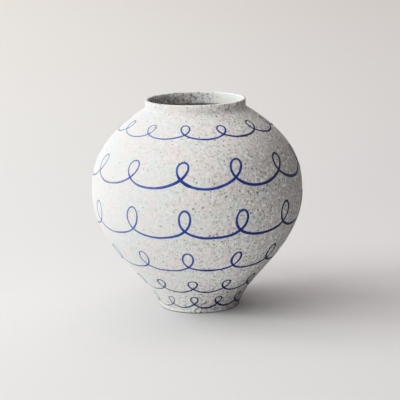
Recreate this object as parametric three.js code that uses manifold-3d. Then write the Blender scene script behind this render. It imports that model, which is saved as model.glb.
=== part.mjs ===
import * as THREE from "three";
import Module from "manifold-3d";

const wasm = await Module();
wasm.setup();

// Moon jar: two thrown bowls joined rim to rim, on a foot ring and under a neck collar, with a layer
// of clay slip in each joint and six lines of cobalt slip that run round the outside in loops.
// Millimetres and degrees, +Z up, with the origin on the table at the centre of the foot.

// The outer form
const jarHeight = 250;
const bellyDiameter = 250.8;
const bellyHeight = 139;
const uprightBelowBelly = 65.8;
const uprightAboveBelly = 22.6;
const footDiameter = 95.7;
const footSlope = 80.5;
const footUpright = 34.4;
const shoulderSlope = 31.6;
const neckDiameter = 118.8;
const collarHeight = 10.2;
const lipDiameter = 119.4;

// Walls, foot and joints
const bowlWall = 5;
const floorThickness = 7;
const floorCorner = 12;
const floorCornerRise = 6;
const footRingHeight = 5.2;
const footRingWidth = 8.5;
const footRingDraft = 1.2;
const footEdge = 0.9;
const collarWall = 3.8;
const neckFilletHeight = 1.8;
const neckFilletReach = 0.7;
const lipOuterEdge = 1.2;
const lipInnerEdge = 1.8;
const jointSlip = 0.8;
const waistAboveBelly = 9;
const waistBeadReach = 1.4;

// The loop lines: loops in each line, the size of the largest loop, and the slip's own size
const loopCount = 12;
const loopHeight = 33.6;
const loopWidth = 13.2;
const lineWidth = 2.6;
const lineClearance = 0.3;
const lineRise = 0.55;

// Each line from the neck down. Its place is where its lowest points lie, as a share of the wall's
// length from table to neck. Tall, wide and thick are shares of the largest loop's height and width
// and of the line's width. Crossing is how far up its loop the line crosses itself, lean is how far
// the loop's top is carried sideways for its height, and firstLoop is an angle from the front.
const loopLines = [
  { place: 0.861, tall: 0.6, wide: 0.77, thick: 0.73, crossing: 0.33, lean: -0.03, firstLoop: -8.4 },
  { place: 0.651, tall: 0.95, wide: 0.97, thick: 1, crossing: 0.36, lean: 0.2, firstLoop: -9.6 },
  { place: 0.4517, tall: 1, wide: 1, thick: 1, crossing: 0.27, lean: 0.05, firstLoop: -7 },
  { place: 0.273, tall: 0.85, wide: 0.8, thick: 0.73, crossing: 0.25, lean: 0.06, firstLoop: -6.6 },
  { place: 0.1224, tall: 0.65, wide: 0.7, thick: 0.73, crossing: 0.31, lean: 0.05, firstLoop: -6 },
  { place: 0.0272, tall: 0.51, wide: 0.56, thick: 0.69, crossing: 0.31, lean: 0.05, firstLoop: -6.6 },
];

// How finely curves are cut; a miss is how far a chord of the wall may lie off its curve
const turnSegments = 48;
const outsideMiss = 0.14;
const insideMiss = 0.35;
const edgeSteps = 3;
const lineSteps = 13;
const halvings = 50;

const clay = { color: 0xd9d7d0, roughness: 0.88, metalness: 0 };
const slip = { color: 0xcdc9c0, roughness: 0.9, metalness: 0 };
const cobalt = { color: 0x3b50ab, roughness: 0.6, metalness: 0 };

const radians = THREE.MathUtils.degToRad;
const bellyRadius = bellyDiameter / 2;
const footRadius = footDiameter / 2;
const neckRadius = neckDiameter / 2;
const throatRadius = neckRadius - collarWall;
const collarBottom = jarHeight - collarHeight;
const upperBowlTop = collarBottom - jointSlip;
const upperBowlBottom = bellyHeight + waistAboveBelly + jointSlip;
const lowerBowlTop = bellyHeight + waistAboveBelly;
const lowerBowlBottom = footRingHeight + jointSlip;
const bowlFloor = lowerBowlBottom + floorThickness;

// The jar's outer wall from table to neck, as radius and height: two curves that meet upright at the
// belly. The shoulder's slope aims at the belly's own radius.
function outerWall() {
  const footSide = new THREE.Vector2(
    footRadius + footUpright * Math.cos(radians(footSlope)),
    footUpright * Math.sin(radians(footSlope)),
  );
  const shoulderDrop = (bellyRadius - neckRadius) * Math.tan(radians(shoulderSlope));
  const belly = new THREE.Vector2(bellyRadius, bellyHeight);
  const wall = new THREE.CurvePath();
  wall.add(
    new THREE.CubicBezierCurve(
      new THREE.Vector2(footRadius, 0),
      footSide,
      new THREE.Vector2(bellyRadius, bellyHeight - uprightBelowBelly),
      belly,
    ),
  );
  wall.add(
    new THREE.CubicBezierCurve(
      belly,
      new THREE.Vector2(bellyRadius, bellyHeight + uprightAboveBelly),
      new THREE.Vector2(bellyRadius, collarBottom - shoulderDrop),
      new THREE.Vector2(neckRadius, collarBottom),
    ),
  );
  return wall;
}

const wall = outerWall();

// The root of a rising function between two values, by halving.
function solve(rising, low, high) {
  for (let halving = 0; halving < halvings; halving += 1) {
    const middle = (low + high) / 2;
    if (rising(middle) < 0) low = middle;
    else high = middle;
  }
  return (low + high) / 2;
}

const wallShareAt = (height) => solve((share) => wall.getPoint(share).y - height, 0, 1);

// A point of the wall at a share of its length, set in by some depth square to the surface.
function wallPoint(share, depth = 0) {
  const point = wall.getPoint(share);
  const nearby = 1e-4;
  const ahead = wall.getPoint(Math.min(share + nearby, 1));
  const behind = wall.getPoint(Math.max(share - nearby, 0));
  const along = ahead.sub(behind).normalize();
  return new THREE.Vector2(point.x - along.y * depth, point.y + along.x * depth);
}

// The wall between two shares of its length, halved until no chord misses the curve by more than miss.
function wallRun(from, to, depth, miss) {
  const halfway = (from + to) / 2;
  const start = wallPoint(from, depth);
  const end = wallPoint(to, depth);
  const chordMiddle = start.clone().lerp(end, 0.5);
  if (chordMiddle.distanceTo(wallPoint(halfway, depth)) < miss) return [start, end];
  const secondHalf = wallRun(halfway, to, depth, miss).slice(1);
  return [...wallRun(from, halfway, depth, miss), ...secondHalf];
}

// The outer wall between two heights, with its ends at exactly those heights.
function outerRun(bottom, top) {
  const run = wallRun(wallShareAt(bottom), wallShareAt(top), 0, outsideMiss);
  run[0].y = bottom;
  run[run.length - 1].y = top;
  return run;
}

const outerRadiusAt = (height) => wallPoint(wallShareAt(height)).x;

// Part of a small rounded edge, from one point to another with a corner between them.
function roundedEdge(from, corner, to) {
  return new THREE.QuadraticBezierCurve(from, corner, to).getPoints(edgeSteps);
}

const at = (radius, height) => new THREE.Vector2(radius, height);

// A solid of revolution about +Z. The profile runs with the clay on its left, seen with radius to the
// right and height up; where it leaves the axis, it also ends on it.
function turned(profile) {
  const closed = profile[0].x === 0 ? profile : [...profile, profile[0].clone()];
  return new THREE.LatheGeometry(closed, turnSegments).rotateX(Math.PI / 2);
}

function footRing() {
  const innerRadius = footRadius - footRingWidth;
  return turned([
    at(innerRadius, 0),
    ...roundedEdge(at(footRadius - footEdge, 0), at(footRadius, 0), wallPoint(wallShareAt(footEdge))),
    ...outerRun(footEdge, footRingHeight).slice(1),
    at(innerRadius - footRingDraft, footRingHeight),
  ]);
}

// Slip between the foot ring and the lower bowl's base, on the ring's own width.
function footJointSlip() {
  return turned([
    at(footRadius - footRingWidth - footRingDraft, footRingHeight),
    ...outerRun(footRingHeight, lowerBowlBottom),
    at(footRadius - footRingWidth - footRingDraft, lowerBowlBottom),
  ]);
}

// The inside of the lower bowl from its rim down, ending in a rounded corner and a flat floor.
function lowerBowlInside() {
  const cornerTop = bowlFloor + floorCornerRise;
  const rim = wallShareAt(lowerBowlTop);
  const corner = solve((share) => wallPoint(share, bowlWall).y - cornerTop, 0, rim);
  const side = wallRun(rim, corner, bowlWall, insideMiss);
  side[0].y = lowerBowlTop;
  const nearby = 0.01;
  const last = side[side.length - 1];
  const before = wallPoint(corner + nearby, bowlWall);
  const fall = (last.y - bowlFloor) / (before.y - last.y);
  const foot = at(last.x - (before.x - last.x) * fall, bowlFloor);
  return [...side, ...roundedEdge(last, foot, at(foot.x - floorCorner, bowlFloor)).slice(1)];
}

function lowerBowl() {
  return turned([
    at(0, lowerBowlBottom),
    ...outerRun(lowerBowlBottom, lowerBowlTop),
    ...lowerBowlInside(),
    at(0, bowlFloor),
  ]);
}

// Slip between the two rims, with the bead that it squeezes out on the inside.
function waistJointSlip() {
  const middle = (lowerBowlTop + upperBowlBottom) / 2;
  const innerRadius = outerRadiusAt(middle) - bowlWall;
  return turned([
    at(innerRadius, lowerBowlTop),
    ...outerRun(lowerBowlTop, upperBowlBottom),
    at(innerRadius, upperBowlBottom),
    at(innerRadius - waistBeadReach, middle),
  ]);
}

// The inside of the upper bowl from the throat down to its rim. It leaves the shoulder's inner slope
// for an upright throat under the collar.
function upperBowlInside() {
  const side = wallRun(1, wallShareAt(upperBowlBottom), bowlWall, insideMiss);
  side[side.length - 1].y = upperBowlBottom;
  const rise = (side[0].x - throatRadius) * Math.tan(radians(shoulderSlope));
  return [at(throatRadius, side[0].y + rise), ...side];
}

function upperBowl() {
  return turned([
    ...outerRun(upperBowlBottom, upperBowlTop),
    at(throatRadius, upperBowlTop),
    ...upperBowlInside(),
  ]);
}

function neckJointSlip() {
  return turned([
    at(throatRadius, upperBowlTop),
    at(outerRadiusAt(upperBowlTop), upperBowlTop),
    at(neckRadius + neckFilletReach, collarBottom),
    at(throatRadius, collarBottom),
  ]);
}

// The collar stands nearly upright between neck and lip, whose edges are rounded. Its base is wiped
// out over the shoulder in a small hollow fillet.
function neckCollar() {
  const lipRadius = lipDiameter / 2;
  const lipInside = lipRadius - collarWall;
  const filletTop = collarBottom + neckFilletHeight;
  const flare = (lipRadius - neckRadius) * (neckFilletHeight / (collarHeight - lipOuterEdge));
  return turned([
    at(throatRadius, collarBottom),
    ...roundedEdge(
      at(neckRadius + neckFilletReach, collarBottom),
      at(neckRadius, collarBottom + neckFilletReach),
      at(neckRadius + flare, filletTop),
    ),
    ...roundedEdge(
      at(lipRadius, jarHeight - lipOuterEdge),
      at(lipRadius, jarHeight),
      at(lipRadius - lipOuterEdge, jarHeight),
    ),
    ...roundedEdge(
      at(lipInside + lipInnerEdge, jarHeight),
      at(lipInside, jarHeight),
      at(lipInside, jarHeight - lipInnerEdge),
    ),
  ]);
}

// One loop of a line, drawn flat: u runs from -PI to PI and the loop's top is at 0. Past either end
// it goes on as the next loop. It gives how far along and how far up the wall the line has come.
function loopShape(line, pitch) {
  const width = loopWidth * line.wide;
  const rise = loopHeight * line.tall;
  const nearlySquare = 1.5;
  const widest = solve((u) => Math.tan(u) - u - (Math.PI * width) / pitch, 0, nearlySquare);
  const swing = pitch / (2 * Math.PI * Math.cos(widest));
  const meeting = solve((u) => u * Math.cos(widest) - Math.sin(u), widest, Math.PI);
  const lift = (line.crossing - (1 + Math.cos(meeting)) / 2) / Math.sin(meeting) ** 2;
  return (u) => {
    const up = rise * ((1 + Math.cos(u)) / 2 + lift * Math.sin(u) ** 2);
    return { along: (pitch * u) / (2 * Math.PI) - swing * Math.sin(u) + line.lean * up, up };
  };
}

// A place on the jar's outside, turned from the front, -Y, towards +X, and lifted off the surface.
function onJar(share, turn, lift) {
  const point = wallPoint(share, -lift);
  return new THREE.Vector3(point.x * Math.sin(turn), -point.x * Math.cos(turn), point.y);
}

// One stretch of a line as a low three-cornered bead, from one loop's top to the next. It laps over
// both neighbours by a step, where it is narrower and lower, so that it lies within them.
function lineStretch(line, column) {
  const wallLength = wall.getLength();
  const crossingShare = line.place + (line.crossing * line.tall * loopHeight) / wallLength;
  const radius = wallPoint(crossingShare).x;
  const shape = loopShape(line, (2 * Math.PI * radius) / loopCount);
  const firstTurn = radians(line.firstLoop) + (2 * Math.PI * column) / loopCount;
  const place = (u, lift) => {
    const { along, up } = shape(u);
    return onJar(line.place + up / wallLength, firstTurn + along / radius, lift);
  };
  const lap = 0.6;
  const nearby = 0.01;
  const positions = [];
  const step = (2 * Math.PI) / lineSteps;
  for (let station = -1; station <= lineSteps + 1; station += 1) {
    const inside = station >= 0 && station <= lineSteps;
    const u = station * step;
    const base = place(u, lineClearance);
    const crown = place(u, lineClearance + lineRise * (inside ? 1 : lap));
    const ahead = place(u + nearby, lineClearance).sub(place(u - nearby, lineClearance));
    const side = ahead.cross(crown.clone().sub(base)).normalize();
    side.multiplyScalar(((lineWidth * line.thick) / 2) * (inside ? 1 : lap));
    positions.push(base.clone().sub(side), base.clone().add(side), crown);
  }
  return beadSolid(positions);
}

// A closed solid from three-cornered stations: left foot, right foot and crown of each in turn.
function beadSolid(corners) {
  const last = corners.length - 3;
  const triVerts = [0, 1, 2, last, last + 2, last + 1];
  for (let start = 0; start < last; start += 3) {
    for (let side = 0; side < 3; side += 1) {
      const a = start + side;
      const b = start + ((side + 1) % 3);
      triVerts.push(a, a + 3, b, b, a + 3, b + 3);
    }
  }
  return new wasm.Manifold(
    new wasm.Mesh({
      numProp: 3,
      vertProperties: new Float32Array(corners.flatMap((corner) => corner.toArray())),
      triVerts: new Uint32Array(triVerts),
    }),
  );
}

// A whole line round the jar: its stretches joined where they lap and cross.
function loopLine(line) {
  const stretches = Array.from({ length: loopCount }, (_, column) => lineStretch(line, column));
  const joined = stretches.reduce((whole, stretch) => whole.add(stretch)).getMesh();
  const geometry = new THREE.BufferGeometry();
  geometry.setAttribute("position", new THREE.BufferAttribute(joined.vertProperties, joined.numProp));
  geometry.setIndex(new THREE.BufferAttribute(joined.triVerts, 1));
  geometry.computeVertexNormals();
  return geometry;
}

function piece(name, geometry, finish) {
  const mesh = new THREE.Mesh(geometry, new THREE.MeshStandardMaterial(finish));
  mesh.name = name;
  return mesh;
}

const jar = new THREE.Group();
jar.name = "moon_jar";
jar.add(
  piece("foot_ring", footRing(), clay),
  piece("foot_joint_slip", footJointSlip(), slip),
  piece("lower_bowl", lowerBowl(), clay),
  piece("waist_joint_slip", waistJointSlip(), slip),
  piece("upper_bowl", upperBowl(), clay),
  piece("neck_joint_slip", neckJointSlip(), slip),
  piece("neck_collar", neckCollar(), clay),
);
loopLines.forEach((line, index) => {
  jar.add(piece(`loop_line_${index + 1}`, loopLine(line), cobalt));
});

export default jar;
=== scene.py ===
"""Looks of a round speckled stoneware jar with six lines of blue loops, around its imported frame.

Metres, +Z up, with the origin on the table at the centre of the foot. The picture looks along +Y.
Every clay piece is turned from its profile and every drawn line is swept along a formula, both by
Geometry Nodes, so that they meet exactly where the frame's solids do.
"""

import logging
import math
from collections.abc import Callable, Sequence
from dataclasses import dataclass, field
from enum import Enum

import bpy
import numpy as np
from mathutils import Euler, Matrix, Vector


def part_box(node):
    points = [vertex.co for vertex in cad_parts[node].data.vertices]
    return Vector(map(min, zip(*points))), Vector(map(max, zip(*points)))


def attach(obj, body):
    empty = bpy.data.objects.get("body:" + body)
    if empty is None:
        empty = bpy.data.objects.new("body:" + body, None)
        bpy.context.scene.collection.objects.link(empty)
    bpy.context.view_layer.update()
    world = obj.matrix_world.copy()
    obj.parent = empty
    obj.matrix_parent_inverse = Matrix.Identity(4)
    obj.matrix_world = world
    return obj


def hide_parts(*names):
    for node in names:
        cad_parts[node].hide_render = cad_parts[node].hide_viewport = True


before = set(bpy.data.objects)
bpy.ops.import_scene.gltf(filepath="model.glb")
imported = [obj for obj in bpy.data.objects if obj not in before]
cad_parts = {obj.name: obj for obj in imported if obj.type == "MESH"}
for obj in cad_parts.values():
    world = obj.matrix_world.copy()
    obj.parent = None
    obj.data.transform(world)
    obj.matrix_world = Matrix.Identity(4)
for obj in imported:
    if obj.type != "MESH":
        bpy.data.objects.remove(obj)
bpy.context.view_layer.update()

log = logging.getLogger("moon_jar")

Colour = tuple[float, float, float]
# Where a smooth step is 0 and where it is 1
Ramp = tuple[float, float]
BODY = "root"
MERGE_DISTANCE = 2e-6
SHARP_ANGLE = math.radians(35)
# Added before a quotient is floored, so that rounding can't take it to the whole number below
COUNT_GUARD = 1e-4
# Over how much of a chance a random thing goes from absent to there
CHANCE_EDGE: Ramp = (0.0, 0.02)
# How far right a place faces where the slip ran thinnest and where it ran full, which on the lines' colour
# also grades painted light on the left to painted shade on the right
SLIP_FLOW_AND_SHADE: Ramp = (-1.2, 0.5)
# What a drawn line keeps for its finish: how far across the stroke, its load and how far right it faces
STROKE = "stroke"
JOINT_BASE: Colour = (0.73, 0.72, 0.685)


class Slot(Enum):
    """The record's material slots."""

    CLAY = "speckled_clay"
    SLIP = "clay_slip"
    COBALT = "cobalt_slip"


class Socket(Enum):
    """The kinds of socket that the node groups have."""

    NUMBER = "NodeSocketFloat"
    COUNT = "NodeSocketInt"
    VECTOR = "NodeSocketVector"
    GEOMETRY = "NodeSocketGeometry"
    MATERIAL = "NodeSocketMaterial"


@dataclass(frozen=True)
class Value:
    """A number or vector inside a node tree, held as the output socket that gives it. Arithmetic on it
    adds the Math nodes that do the sum.
    """

    graph: "Graph"
    socket: bpy.types.NodeSocket

    def math(self, operation: str, *others: "Value | float") -> "Value":
        """This number and others put through one Math node.

        Args:
            operation: The Math node's operation.
            others: What goes into its other sockets.

        Returns:
            The result.
        """
        inputs = dict(enumerate((self, *others)))
        return self.graph.add("ShaderNodeMath", inputs, operation=operation)[0]

    def __add__(self, other: "Value | float") -> "Value":
        """The sum."""
        return self.math("ADD", other)

    def __sub__(self, other: "Value | float") -> "Value":
        """The difference."""
        return self.math("SUBTRACT", other)

    def __mul__(self, other: "Value | float") -> "Value":
        """The product."""
        return self.math("MULTIPLY", other)

    def __truediv__(self, other: "Value | float") -> "Value":
        """The quotient."""
        return self.math("DIVIDE", other)

    def __neg__(self) -> "Value":
        """The same number below zero."""
        return self.math("MULTIPLY", -1.0)

    def sin(self) -> "Value":
        """The sine."""
        return self.math("SINE")

    def cos(self) -> "Value":
        """The cosine."""
        return self.math("COSINE")

    def floor(self) -> "Value":
        """The whole part."""
        return self.math("FLOOR")

    def fade(self, start: "Value | float", end: "Value | float") -> "Value":
        """A smooth step.

        Args:
            start: Where it is 0.
            end: Where it is 1, which may be below start.

        Returns:
            A number from 0 to 1.
        """
        inputs = {"Value": self, "From Min": start, "From Max": end}
        return self.graph.add("ShaderNodeMapRange", inputs, interpolation_type="SMOOTHSTEP")[0]


class Graph:
    """A node tree as it is built, with short ways to add a node, a sum or a group's sockets."""

    def __init__(self, tree: bpy.types.NodeTree) -> None:
        """Starts on a tree that holds nothing.

        Args:
            tree: The tree to build.
        """
        self.tree = tree
        self.tree.nodes.clear()
        self.entry: bpy.types.Node | None = None
        self.exit: bpy.types.Node | None = None

    @classmethod
    def group(
        cls, name: str, kind: str, inputs: dict[str, Socket], outputs: dict[str, Socket]
    ) -> "Graph":
        """A new node group.

        Args:
            name: What the group is called.
            kind: Its tree type.
            inputs: The kind of each input, by its name.
            outputs: The kind of each output, by its name.

        Returns:
            The group's graph.
        """
        tree = bpy.data.node_groups.new(name, kind)
        for sockets, side in ((inputs, "INPUT"), (outputs, "OUTPUT")):
            for label, socket in sockets.items():
                tree.interface.new_socket(label, in_out=side, socket_type=socket.value)
        graph = cls(tree)
        graph.entry = tree.nodes.new("NodeGroupInput")
        graph.exit = tree.nodes.new("NodeGroupOutput")
        return graph

    def given(self, name: str) -> Value:
        """One of the group's inputs, by its name."""
        return Value(self, self.entry.outputs[name])

    def give(self, name: str, value: Value) -> None:
        """Sends a value to one of the group's outputs, by its name."""
        self.feed(value, self.exit.inputs[name])

    def feed(self, source: object, target: bpy.types.NodeSocket) -> None:
        """Links a value to an input socket, or sets the socket to a plain number, colour or name.

        Args:
            source: A Value, or what the socket's own field takes.
            target: The input socket.
        """
        if isinstance(source, Value):
            self.tree.links.new(source.socket, target)
        else:
            target.default_value = source

    def add(
        self, kind: str, inputs: dict[str | int, object] | None = None, **settings: object
    ) -> list[Value]:
        """Adds a node.

        Args:
            kind: The node's type.
            inputs: What goes into its sockets, by name or index.
            settings: The node's own properties.

        Returns:
            Its enabled outputs, in order.
        """
        node = self.tree.nodes.new(kind)
        for name, setting in settings.items():
            setattr(node, name, setting)
        enabled = [socket for socket in node.inputs if socket.enabled]
        for key, source in (inputs or {}).items():
            named = [socket for socket in enabled if socket.name == key]
            self.feed(source, named[0] if named else enabled[key])
        return [Value(self, socket) for socket in node.outputs if socket.enabled]

    def place(self, group: "Graph", **inputs: object) -> dict[str, Value]:
        """Places a node group in this tree.

        Args:
            group: The group.
            inputs: What goes into its sockets, with _ for a space in a name.

        Returns:
            Its outputs by name.
        """
        kind = "GeometryNodeGroup" if self.tree.type == "GEOMETRY" else "ShaderNodeGroup"
        node = self.tree.nodes.new(kind)
        node.node_tree = group.tree
        for name, source in inputs.items():
            self.feed(source, node.inputs[name.replace("_", " ")])
        return {socket.name: Value(self, socket) for socket in node.outputs}

    def vector(self, x: Value | float, y: Value | float, z: Value | float) -> Value:
        """A vector from its three parts."""
        return self.add("ShaderNodeCombineXYZ", {"X": x, "Y": y, "Z": z})[0]

    def parts(self, vector: Value) -> list[Value]:
        """The three parts of a vector."""
        return self.add("ShaderNodeSeparateXYZ", {"Vector": vector})

    def vectors(self, operation: str, *inputs: object) -> Value:
        """Vectors put through one Vector Math node.

        Args:
            operation: The node's operation.
            inputs: What goes into its sockets, in order.

        Returns:
            The result.
        """
        return self.add("ShaderNodeVectorMath", dict(enumerate(inputs)), operation=operation)[0]

    def scaled(self, vector: Value, factor: Value | float) -> Value:
        """A vector times a number."""
        return self.add("ShaderNodeVectorMath", {0: vector, "Scale": factor}, operation="SCALE")[0]

    def noise(self, vector: Value, scale: Value | float, detail: float = 2.0) -> Value:
        """Smooth noise about 0.5.

        Args:
            vector: Where it is read.
            scale: Its waves per metre of the vector.
            detail: How many finer octaves it has.

        Returns:
            A number from 0 to 1.
        """
        return self.add("ShaderNodeTexNoise", {"Vector": vector, "Scale": scale, "Detail": detail})[0]

    def blend(self, amount: Value, below: object, above: object) -> Value:
        """A mix of two colours.

        Args:
            amount: How much of the second shows.
            below: The first colour.
            above: The second colour.

        Returns:
            The mixed colour.
        """
        inputs = {"Factor": amount, "A": shown(below), "B": shown(above)}
        return self.add("ShaderNodeMix", inputs, data_type="RGBA")[0]


def shown(colour: object) -> object:
    """A plain colour with its alpha, and a Value as it is."""
    return colour if isinstance(colour, Value) else (*colour, 1.0)


def root_of(rising: Callable[[float], float], low: float, high: float) -> float:
    """The root of a rising function, by halving.

    Args:
        rising: The function.
        low: A number below the root.
        high: A number above it.

    Returns:
        The root.
    """
    halvings = 50
    for _ in range(halvings):
        middle = (low + high) / 2
        if rising(middle) < 0:
            low = middle
        else:
            high = middle
    return (low + high) / 2


def heights(node: str) -> tuple[float, float]:
    """The lowest and highest point of one of the frame's nodes."""
    low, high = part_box(node)
    return low.z, high.z


def rounded_edge(start: Vector, corner: Vector, end: Vector, steps: int = 8) -> list[Vector]:
    """A small rounded edge, from one point to another with a corner between them.

    Args:
        start: Its first point, as radius and height.
        corner: The corner that it rounds.
        end: Its last point.
        steps: How many chords it has.

    Returns:
        Its points.
    """
    shares = [step / steps for step in range(steps + 1)]
    return [start * (1 - s) ** 2 + corner * 2 * s * (1 - s) + end * s**2 for s in shares]


@dataclass(frozen=True)
class JarForm:
    """The jar's outer form: two curves that meet upright at the belly, and its openings' sizes."""

    belly_radius: float = 0.1254
    belly_height: float = 0.139
    upright_below_belly: float = 0.0658
    upright_above_belly: float = 0.0226
    foot_radius: float = 0.04785
    foot_slope: float = math.radians(80.5)
    foot_upright: float = 0.0344
    shoulder_slope: float = math.radians(31.6)
    neck_radius: float = 0.0594
    bowl_wall: float = 0.005
    collar_wall: float = 0.0038
    curve_samples: int = 900

    @property
    def collar_bottom(self) -> float:
        """The height where the collar starts."""
        return heights("neck_collar")[0]

    @property
    def throat_radius(self) -> float:
        """The radius of the opening under the collar."""
        return self.neck_radius - self.collar_wall

    def corners(self) -> tuple[list[Vector], list[Vector]]:
        """The corners of the two cubic curves, as radius and height, from table to neck.

        Returns:
            The lower curve's four corners and the upper curve's.
        """
        foot_side = Vector((math.cos(self.foot_slope), math.sin(self.foot_slope))) * self.foot_upright
        foot = Vector((self.foot_radius, 0))
        belly = Vector((self.belly_radius, self.belly_height))
        shoulder_drop = (self.belly_radius - self.neck_radius) * math.tan(self.shoulder_slope)
        lower = [foot, foot + foot_side, belly - Vector((0, self.upright_below_belly)), belly]
        upper = [
            belly,
            belly + Vector((0, self.upright_above_belly)),
            Vector((self.belly_radius, self.collar_bottom - shoulder_drop)),
            Vector((self.neck_radius, self.collar_bottom)),
        ]
        return lower, upper

    def __post_init__(self) -> None:
        """Measures the wall once: its points and how far along it each lies."""
        share = np.linspace(0, 1, self.curve_samples)[:, None]
        curves = []
        for a, b, c, d in self.corners():
            a, b, c, d = (np.array(corner) for corner in (a, b, c, d))
            still = (1 - share) ** 3 * a + 3 * share * (1 - share) ** 2 * b
            curves.append(still + 3 * share**2 * (1 - share) * c + share**3 * d)
        points = np.vstack([curves[0], curves[1][1:]])
        steps = np.hypot(*np.diff(points, axis=0).T)
        object.__setattr__(self, "points", points)
        object.__setattr__(self, "travel", np.concatenate([[0], np.cumsum(steps)]))

    @property
    def wall_length(self) -> float:
        """The wall's length from table to neck."""
        return float(self.travel[-1])

    def point(self, share: float, depth: float = 0.0) -> Vector:
        """A point of the wall.

        Args:
            share: How far along its length.
            depth: How far in from the outside, square to it.

        Returns:
            Its radius and height.
        """
        nearby = 5e-4
        place = Vector(self._at(share))
        along = (Vector(self._at(share + nearby)) - Vector(self._at(share - nearby))).normalized()
        return Vector((place.x - along.y * depth, place.y + along.x * depth))

    def _at(self, share: float) -> tuple[float, float]:
        """The wall's radius and height at a share of its length, held at its two ends.

        Args:
            share: How far along its length.

        Returns:
            Its radius and height.
        """
        travel = min(max(share, 0.0), 1.0) * self.wall_length
        radius = np.interp(travel, self.travel, self.points[:, 0])
        return float(radius), float(np.interp(travel, self.travel, self.points[:, 1]))

    def share_at(self, height: float) -> float:
        """How far along its length the wall reaches a height."""
        return float(np.interp(height, self.points[:, 1], self.travel)) / self.wall_length

    def radius_at(self, height: float) -> float:
        """The outer radius at a height."""
        return self.point(self.share_at(height)).x

    def run(self, start: float, end: float, depth: float = 0.0) -> list[Vector]:
        """The wall between two shares of its length, with a thin row of faces at each end.

        Args:
            start: The first share.
            end: The last share, which may be below the first.
            depth: How far in from the outside.

        Returns:
            Its points.
        """
        row = 0.0024
        thin_row = 0.0003
        span = end - start
        count = max(2, round(abs(span) * self.wall_length / row))
        edge = min(thin_row / self.wall_length, abs(span) / count / 4) * math.copysign(1, span)
        inner = [start + span * step / count for step in range(1, count)]
        return [self.point(share, depth) for share in (start, start + edge, *inner, end - edge, end)]

    def outside(self, bottom: float, top: float) -> list[Vector]:
        """The outer wall between two heights, with its ends at exactly those heights.

        Args:
            bottom: The lower height.
            top: The upper height.

        Returns:
            Its points.
        """
        points = self.run(self.share_at(bottom), self.share_at(top))
        points[0].y = bottom
        points[-1].y = top
        return points


def wire(
    name: str, points: Sequence[Vector], numbers: dict[str, Sequence[float]] | None = None
) -> bpy.types.Object:
    """A chain of edges through points given as radius and height, for Geometry Nodes to turn or follow.

    Args:
        name: The object's name.
        points: The points in order.
        numbers: A number for each point, by attribute name.

    Returns:
        The object, linked to the scene.
    """
    mesh = bpy.data.meshes.new(name)
    edges = [(index, index + 1) for index in range(len(points) - 1)]
    mesh.from_pydata([(point.x, 0, point.y) for point in points], edges, [])
    for label, values in (numbers or {}).items():
        mesh.attributes.new(label, "FLOAT", "POINT").data.foreach_set("value", list(values))
    made = bpy.data.objects.new(name, mesh)
    bpy.context.collection.objects.link(made)
    return made


def grown(base: bpy.types.Object, graph: Graph, inputs: dict[str, object]) -> bpy.types.Object:
    """Runs a Geometry Nodes tree on an object and keeps the result as its plain mesh.

    Args:
        base: The object that the tree starts from.
        graph: The tree.
        inputs: What its named inputs are set to.

    Returns:
        The same object, with its modifier gone.
    """
    modifier = base.modifiers.new("grow", "NODES")
    modifier.node_group = graph.tree
    sockets = {item.name: item for item in graph.tree.interface.items_tree if item.in_out == "INPUT"}
    for name, value in inputs.items():
        modifier[sockets[name].identifier] = value
    depsgraph = bpy.context.evaluated_depsgraph_get()
    mesh = bpy.data.meshes.new_from_object(base.evaluated_get(depsgraph))
    base.modifiers.clear()
    old = base.data
    base.data = mesh
    mesh.name = base.name
    bpy.data.meshes.remove(old)
    mesh.set_sharp_from_angle(angle=SHARP_ANGLE)
    return base


def finish_piece(piece: bpy.types.Object, slot: Slot, node: str) -> None:
    """Hands a finished piece to the frame in place of its node.

    Args:
        piece: The piece.
        slot: The record's slot that its finish comes from.
        node: The node that it stands for.
    """
    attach(piece, BODY)
    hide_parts(node)
    log.info("%s: %d faces, %s", piece.name, len(piece.data.polygons), slot.value)


def closing_nodes(graph: Graph, mesh: Value) -> None:
    """Ends a Geometry Nodes tree: seams merged, shaded smooth, instances realised, material set.

    Args:
        graph: The tree, which has a Material input and a Geometry output.
        mesh: The mesh so far.
    """
    merge_inputs = {"Geometry": mesh, "Distance": MERGE_DISTANCE}
    merged = graph.add("GeometryNodeMergeByDistance", merge_inputs)[0]
    smooth = graph.add("GeometryNodeSetShadeSmooth", {"Geometry": merged})[0]
    real = graph.add("GeometryNodeRealizeInstances", {"Geometry": smooth})[0]
    dress_inputs = {"Geometry": real, "Material": graph.given("Material")}
    graph.give("Geometry", graph.add("GeometryNodeSetMaterial", dress_inputs)[0])


def sheet_index(graph: Graph, columns: Value) -> tuple[Value, Value]:
    """The row and column of each vertex of a grid whose rows hold a number of vertices.

    Args:
        graph: The tree.
        columns: Vertices in a row.

    Returns:
        The row and the column.
    """
    index = graph.add("GeometryNodeInputIndex")[0]
    row = (index / columns + COUNT_GUARD).floor()
    return row, index - row * columns


def sampled(graph: Graph, geometry: Value, field_value: Value, index: Value, kind: str) -> Value:
    """A field read at one point of another geometry.

    Args:
        graph: The tree.
        geometry: Where it is read.
        field_value: What is read.
        index: The point's index.
        kind: The data type.

    Returns:
        The value read.
    """
    inputs = {"Geometry": geometry, "Value": field_value, "Index": index}
    return graph.add("GeometryNodeSampleIndex", inputs, data_type=kind, domain="POINT")[0]


def named(graph: Graph, name: str, kind: str = "FLOAT") -> Value:
    """A named attribute of the geometry at hand."""
    return graph.add("GeometryNodeInputNamedAttribute", {"Name": name}, data_type=kind)[0]


def stored(graph: Graph, geometry: Value, name: str, value: Value, kind: str = "FLOAT") -> Value:
    """The geometry with a value kept on its points under a name."""
    inputs = {"Geometry": geometry, "Name": name, "Value": value}
    return graph.add("GeometryNodeStoreNamedAttribute", inputs, data_type=kind, domain="POINT")[0]


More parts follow.
